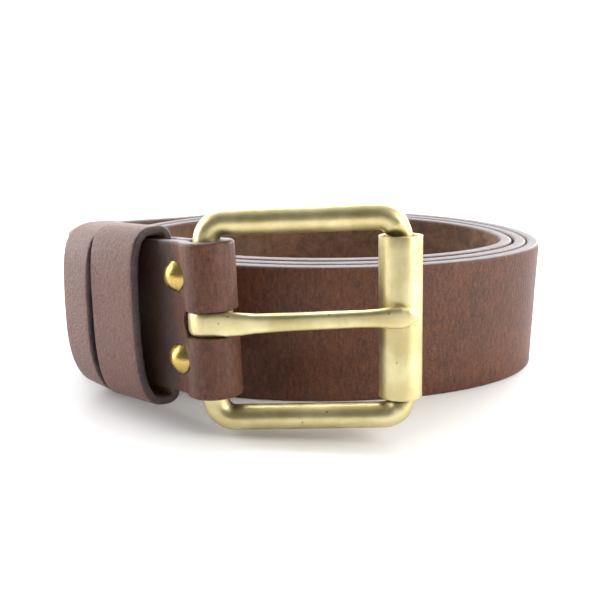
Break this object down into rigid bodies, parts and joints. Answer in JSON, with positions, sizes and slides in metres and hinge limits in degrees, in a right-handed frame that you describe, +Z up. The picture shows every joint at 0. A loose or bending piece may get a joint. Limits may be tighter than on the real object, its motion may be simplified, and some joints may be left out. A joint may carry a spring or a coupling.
{
  "type": "leather belt",
  "caption": "Leather belt with a roller buckle, a fixed and a sliding keeper and screwed plies, coiled into an oval and standing on its edge.",
  "frame": {"origin": "bottom centre of the whole coiled belt, on the surface it stands on", "axes": "+X to the right, along the oval; +Y away from the buckle side; +Z up, along the strap's width"},
  "size_m": [0.1414, 0.1139, 0.0581],
  "materials": {
    "strap_leather": "waxed grain, satin",
    "keeper_leather": "fine pebble grain, satin",
    "brass_satin": "brushed satin",
    "brass_polished": "polished",
    "wire": "dull wire"
  },
  "bodies": {
    "belt": {"strap": "strap_leather", "fixed_keeper": "keeper_leather", "front_post_upper": "brass_polished", "front_post_lower": "brass_polished", "rear_post_upper": "brass_polished", "rear_post_lower": "brass_polished", "front_screw_upper": "brass_polished", "front_screw_lower": "brass_polished", "rear_screw_upper": "brass_polished", "rear_screw_lower": "brass_polished"},
    "frame": {"buckle_frame": "brass_satin"},
    "roller": {"roller": "brass_satin"},
    "prong": {"prong": "brass_satin"},
    "sliding_keeper": {"sliding_keeper": "keeper_leather", "keeper_staple_upper": "wire", "keeper_staple_lower": "wire"}
  },
  "joints": [
    {"name": "frame_swing", "type": "hinge", "parent": "belt", "child": "frame", "pos_m": [-0.0232, -0.0453, 0.02975], "axis": [0.0446, -0.1046, -0.9935], "range_deg": [-12, 36]},
    {"name": "prong_swing", "type": "hinge", "parent": "frame", "child": "prong", "pos_m": [-0.0232, -0.0453, 0.02975], "axis": [0.0446, -0.1046, -0.9935], "range_deg": [0, 62]},
    {"name": "roller_spin", "type": "hinge", "parent": "frame", "child": "roller", "pos_m": [0.02235, -0.04874, 0.03125], "axis": [-0.022, 0.1029, 0.9945], "continuous": true},
    {"name": "keeper_slide", "type": "hinge", "parent": "belt", "child": "sliding_keeper", "pos_m": [-0.02351, 0.01028, 0.02389], "axis": [0.0446, -0.1046, -0.9935], "range_deg": [0, 20]}
  ]
}
